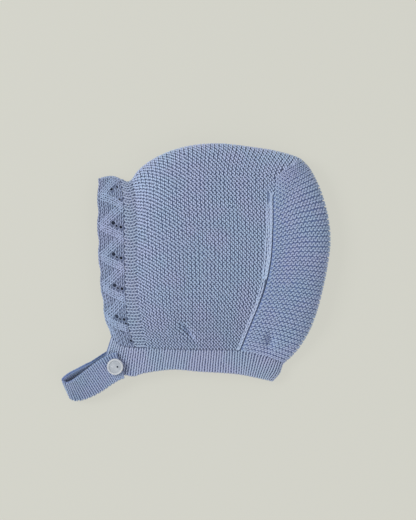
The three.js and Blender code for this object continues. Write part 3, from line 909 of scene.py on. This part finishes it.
# The inner face wears the darker copy of the yarn, as painted shade inside the loop.
strap_inside = chains(strap_map, spots(0.02, columns), spots(0.98, columns), steps=5, sides=5, face=-1,
                      **STRAP_GAUGE).piece("strap_inner_stitches", "rib_knit", inner_yarn_painted_shade)
strap_edge = chains(strap_map, spots([1.0], 0.02), spots([1.0], 0.5), **EDGE_GAUGE).piece(
    "strap_upper_edge", "rib_knit", strap_yarn)
print("ribs on neckband, front rib and strap:", BAND_RIBS, FRONT_RIBS, STRAP_RIBS)

# %% The selvedge along the side seam
SELVEDGE_SPANS = 8
SELVEDGE_TOP = SEAM_TOP + 0.03
SELVEDGE_GAUGE = {"stitch": 2.6, "yarn": 1.0, "lean": 0.45}


def inner_inset(place):
    """The second chain keeps the same distance from the seam all along it."""
    return np.full_like(place, 1.3)


def selvedge_chain(inset, low, high, far, spread):
    """A chain at an inset from the side seam. Its upper end sinks into the garter stitch."""
    places = np.linspace(low, high, SELVEDGE_SPANS + 1)
    if far:
        places = 1 - places
    line = spots(1 - inset(places) / main_width(places), places)
    parts = []
    for start, end, share in zip(line[:-1], line[1:], np.linspace(0, 1, SELVEDGE_SPANS)):
        top = 0.62 - 0.8 * smoothstep(share, 0.8, 1.0)
        parts.append(chains(main_map, [start], [end], spread=spread, top=top, **SELVEDGE_GAUGE))
    return sum(parts[1:], parts[0])


selvedge = [selvedge_chain(selvedge_inset, 0.003, SELVEDGE_TOP, far, 0.72) for far in (False, True)]
selvedge += [selvedge_chain(inner_inset, 0.18, SELVEDGE_TOP, far, 0.45) for far in (False, True)]
# The selvedge wears the lighter copy of the yarn, a painted highlight on its raised chains.
main_selvedge = sum(selvedge[1:], selvedge[0]).piece("main_selvedge", "garter_knit", selvedge_yarn_painted_highlight)

# %% [markdown]
# ## Lace
# The face edge is openwork on a ground of chains that run along the edge. Over them two narrow chains,
# side by side, run in a zigzag from the edge to the rib and back. Three eyelets lie in a slanting row
# where the zigzag opens to the rib, one small one where it closes there, and a few odd ones at the ends.
# They could be dark spots, but then nothing shows through: a boolean cuts real holes in the ground, and
# the chains stop short of them. The pattern leans a little against the net.


# %% Spots in the lace
REPEATS = REPEAT["first"] + REPEAT["pitch"] * np.arange(REPEAT["count"])
HALF_REPEAT = REPEAT["pitch"] / 2
FAR_SHIFT = REPEAT["pitch"] / 4
LEAN, LEAN_LOSS = 0.082, 0.05
CLOSED_EYELET = (0.67, 1.6)  # share across the lace, diameter
OPEN_EYELETS = [(0.60, 0.0, 2.7), (0.72, -0.022, 1.6), (0.87, -0.032, 2.1)]  # across, shift along, diameter
ODD_EYELETS = [
    (0.55, 0.925, 2.4), (0.79, 0.944, 2.0), (0.84, 0.87, 1.6), (0.92, 0.15, 1.6), (0.93, 0.045, 2.0),
]  # across, share along, diameter


def lace_length_table():
    turn = np.linspace(1, 0, FINE)
    line = lift(lace_net(np.full_like(turn, 0.5)[None], (1 - turn**2)[None]), True, LACE_WALL)[0]
    walked = walk(line)
    return 1 - turn**2, walked / walked[-1] / 2


lace_table = lace_length_table()


def lace_spot(across, repeat_share, far=False):
    """Map shares of a spot given across the lace and along its pattern."""
    share = repeat_share + across * (LEAN - LEAN_LOSS * repeat_share)
    along = np.interp(share, *lace_table)
    return across, 1 - along if far else along


def eyelets(far):
    """Each eyelet's place in the map and its diameter; none at the ends or on the fold."""
    found = []
    for corner in REPEATS + FAR_SHIFT * far:
        found.append((*lace_spot(CLOSED_EYELET[0], corner, far), CLOSED_EYELET[1]))
        if corner < REPEATS[-1]:
            found += [(*lace_spot(across, corner + HALF_REPEAT + shift, far), width)
                      for across, shift, width in OPEN_EYELETS]
    for across, share, width in ODD_EYELETS:
        along = np.interp(share - 0.03 * far, *lace_table)
        found.append((across, 1 - along if far else along, width))
    return [spot for spot in found if 0.02 < spot[1] < 0.98 and not 0.492 < spot[1] < 0.508]


holes = eyelets(False) + eyelets(True)
print(len(holes), "eyelets")

# %% Cut the eyelets through the lace's ground
lace_cloth = sheet_skin(lace_map, 32, 320, *GROUND["lace"]).piece(
    "lace_cloth", "lace_knit", lace_yarn, "lace_trim")
punches = []
for across, along, width in holes:
    ends, out = lace_map.at(np.full(2, across), np.full(2, along), np.array([-2.0, 1.5]))
    aside = np.cross(out, [0.0, 0.0, 1.0] if abs(out[0, 2]) < 0.7 else [0.0, 1.0, 0.0])
    punches.append(tubes(ends[None], aside[None], width / 2, 0.0, 12))
punch = sum(punches[1:], punches[0]).piece("eyelet_punch", "lace_knit", lace_yarn)
cut = lace_cloth.modifiers.new("eyelets", "BOOLEAN")
cut.operation, cut.solver, cut.object = "DIFFERENCE", "EXACT", punch
with bpy.context.temp_override(object=lace_cloth):
    bpy.ops.object.modifier_apply(modifier="eyelets")
bpy.data.objects.remove(punch)
print("lace ground of", len(lace_cloth.data.polygons), "faces")


# %% Arms, ground chains and rims of the lace
SHORTEST_CHAIN, KEEP_OFF, LOOK_EVERY = 1.6, 0.6, 0.25
ARM_GAUGE = {"stitch": 2.1, "spread": 0.66, "top": 0.55, "yarn": 0.8, "steps": 5, "lean": 0.15}
ARM_OFFSET, ARM_FOOT, ARM_HEAD = 1.35, 0.12, 0.93
FILLING_GAUGE = {"stitch": 2.5, "spread": 0.82, "top": 0.45, "yarn": 0.85, "steps": 5, "sides": 5,
                 "lean": 0.55}
RIM_RADIUS, RIM_RISE, RIM_GAP = 0.3, 0.15, 0.2


def clear_of_holes(start, end):
    """The stretches of a line in the map that keep off the eyelets, without the shortest."""
    size = np.array(lace_map.size)
    steps = np.linspace(0, 1, max(2, round(math.dist(start * size, end * size) / LOOK_EVERY)))[:, None]
    line = (start * (1 - steps) + end * steps) * size
    free = np.ones(len(line), bool)
    for across, along, width in holes:
        free &= np.linalg.norm(line - np.array([across, along]) * size, axis=1) > width / 2 + KEEP_OFF
    edges = np.flatnonzero(np.diff(np.concatenate([[0], free.astype(int), [0]])))
    parts = [(line[i] / size, line[j - 1] / size) for i, j in zip(edges[::2], edges[1::2])]
    return [part for part in parts if math.dist(part[0] * size, part[1] * size) > SHORTEST_CHAIN]


def lace_arms(far):
    """Middle lines of the zigzag's arms."""
    arms = []
    for corner in np.append(REPEATS, REPEATS[-1] + REPEAT["pitch"]) + FAR_SHIFT * far:
        for hand in (-1, 1):
            foot = lace_spot(ARM_FOOT, corner + hand * HALF_REPEAT, far)
            arms.append((foot, lace_spot(ARM_HEAD, corner, far)))
    return [arm for arm in arms if all(0.004 < spot[1] < 0.996 for spot in arm)]


def beside(lines, offset):
    """Lines moved sideways in the map by an offset."""
    size = np.array(lace_map.size)
    moved = []
    for start, end in lines:
        run = (np.array(end) - start) * size
        square = np.array([-run[1], run[0]]) / np.linalg.norm(run) * offset / size
        moved.append((start + square, end + square))
    return moved


def laid_chains(lines, gauge):
    return chains(lace_map, [line[0] for line in lines], [line[1] for line in lines], **gauge)


arms = lace_arms(False) + lace_arms(True)
arm_chains = [laid_chains(beside(arms, offset), ARM_GAUGE) for offset in (-ARM_OFFSET, ARM_OFFSET)]
lace_arm_stitches = (arm_chains[0] + arm_chains[1]).piece("lace_arm_stitches", "lace_knit", lace_yarn)
ground_lines = [part for across in middles(6, 0.0, 0.99)
                for part in clear_of_holes(np.array([across, 0.003]), np.array([across, 0.997]))]
lace_filling = laid_chains(ground_lines, FILLING_GAUGE).piece("lace_filling", "lace_knit", lace_yarn)
turn = np.linspace(0, 2 * np.pi, 11)
rim_lines = []
for across, along, width in holes:
    reach = (width / 2 + RIM_GAP) / np.array(lace_map.size)
    rim_lines.append(np.stack([across + reach[0] * np.cos(turn), along + reach[1] * np.sin(turn)], -1))
rim_lines = np.array(rim_lines)
rim_rise = np.full(rim_lines.shape[:2], RIM_RISE)
rim_points, rim_out = lace_map.at(rim_lines[..., 0], rim_lines[..., 1], rim_rise)
lace_rims = tubes(rim_points, rim_out, RIM_RADIUS, rim_rise).piece(
    "lace_eyelet_rims", "lace_knit", lace_yarn)
print(len(arms), "arms and", len(ground_lines), "ground chains in the lace")

# %% [markdown]
# ## Button and thread
# The button's shape in the model is right as it is, so it keeps its own mesh and only gets a better
# finish: a pearly plastic with a clear coat, whose clouds come from a large noise, and a painted highlight
# that lightens it towards the rim. Only one of its two holes stays open: a squashed ball of the same
# plastic, shaped in edit mode, plugs the other.

# %% Pearl and thread
BUTTON_TOP = button_high.z
HOLE_OFFSET = 1.6
PLUG_RADIUS, PLUG_DEPTH, PLUG_FLATNESS = 0.0008, 0.0009, 0.4  # two in metres
RIM_INSIDE, RIM_OUTSIDE = 0.0041, 0.0052  # metres from the button's middle
pearl = Finish("pearl")
clouds = pearl.noise(260.0, 3.0).between(0.3, 0.7)
face = pearl.mix(clouds, linear(170, 177, 186), linear(192, 197, 205))
centre = (*((button_low + button_high) / 2).xy, BUTTON_TOP)
reach = pearl.node("ShaderNodeVectorMath", {"operation": "DISTANCE"},
                   {0: pearl.node("ShaderNodeTexCoord", output="Object"), 1: centre}, output="Value")
# Painted highlight: the pearl is lightened towards its rim, for the raised rim catching the light, and the
# dished face inside stays darker as painted shade.
rim = reach.between(RIM_INSIDE, RIM_OUTSIDE)
pearl_finish = pearl.shine({
    "Base Color": pearl.mix(rim, face, linear(216, 219, 224)),
    "Roughness": 0.32, "Coat Weight": 0.5, "Coat Roughness": 0.15,
})
bpy.ops.mesh.primitive_uv_sphere_add(segments=20, ring_count=12, radius=PLUG_RADIUS)
plug = bpy.context.active_object
plug.name = "button_hole_plug"
bpy.ops.object.mode_set(mode="EDIT")
bpy.ops.mesh.select_all(action="SELECT")
bpy.ops.transform.resize(value=(1, 1, PLUG_FLATNESS))
bpy.ops.transform.translate(value=(centre[0] - HOLE_OFFSET * MM, centre[1], BUTTON_TOP - PLUG_DEPTH))
bpy.ops.object.mode_set(mode="OBJECT")
plug.data.materials.append(pearl_finish)
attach(plug, "root")
thread_finish = yarn_finish("sewing_thread", 150, 160, 186)
for piece in bpy.data.objects:
    if piece.type == "MESH" and piece.get("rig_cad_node") in ("button", "button_thread"):
        finish = pearl_finish if piece["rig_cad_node"] == "button" else thread_finish
        for slot in piece.material_slots:
            slot.material = finish
        print(piece.name, "gets", finish.name)

# %% [markdown]
# ## What each piece of cloth is
# The size of the flat piece that the knitter casts off is worked out for each sheet from its map and
# printed.

# %% Sizes of the flat pieces
def declare(piece, cloth_map):
    """Each map is its panel's middle surface, so its mean sides and its area are the flat piece's. A
    declared side may not be under 10 mm, so the front rib, 8.3 mm wide, is declared 10 mm wide."""
    width, length = (max(side, cloth_map.area() / other, 10.0) for side, other in
                     (cloth_map.size, cloth_map.size[::-1]))
    cloth_map.area() * MM**2
    print(piece.name, round(width, 1), "x", round(length, 1), "mm,", round(cloth_map.area()), "mm2")


declare(main_cloth, main_map)
declare(back_cloth, back_map)
declare(rib_cloth, front_rib_map)
declare(band_cloth, band_map)
declare(strap_cloth, strap_map)
declare(lace_cloth, lace_map)

# %% Sizes and counts
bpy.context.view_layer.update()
counts = {}
for piece in bpy.data.objects:
    if piece.type == "MESH" and "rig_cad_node" not in piece:
        counts[piece.name] = sum(len(face.vertices) - 2 for face in piece.data.polygons)
print("triangles:", counts, "in all", sum(counts.values()))
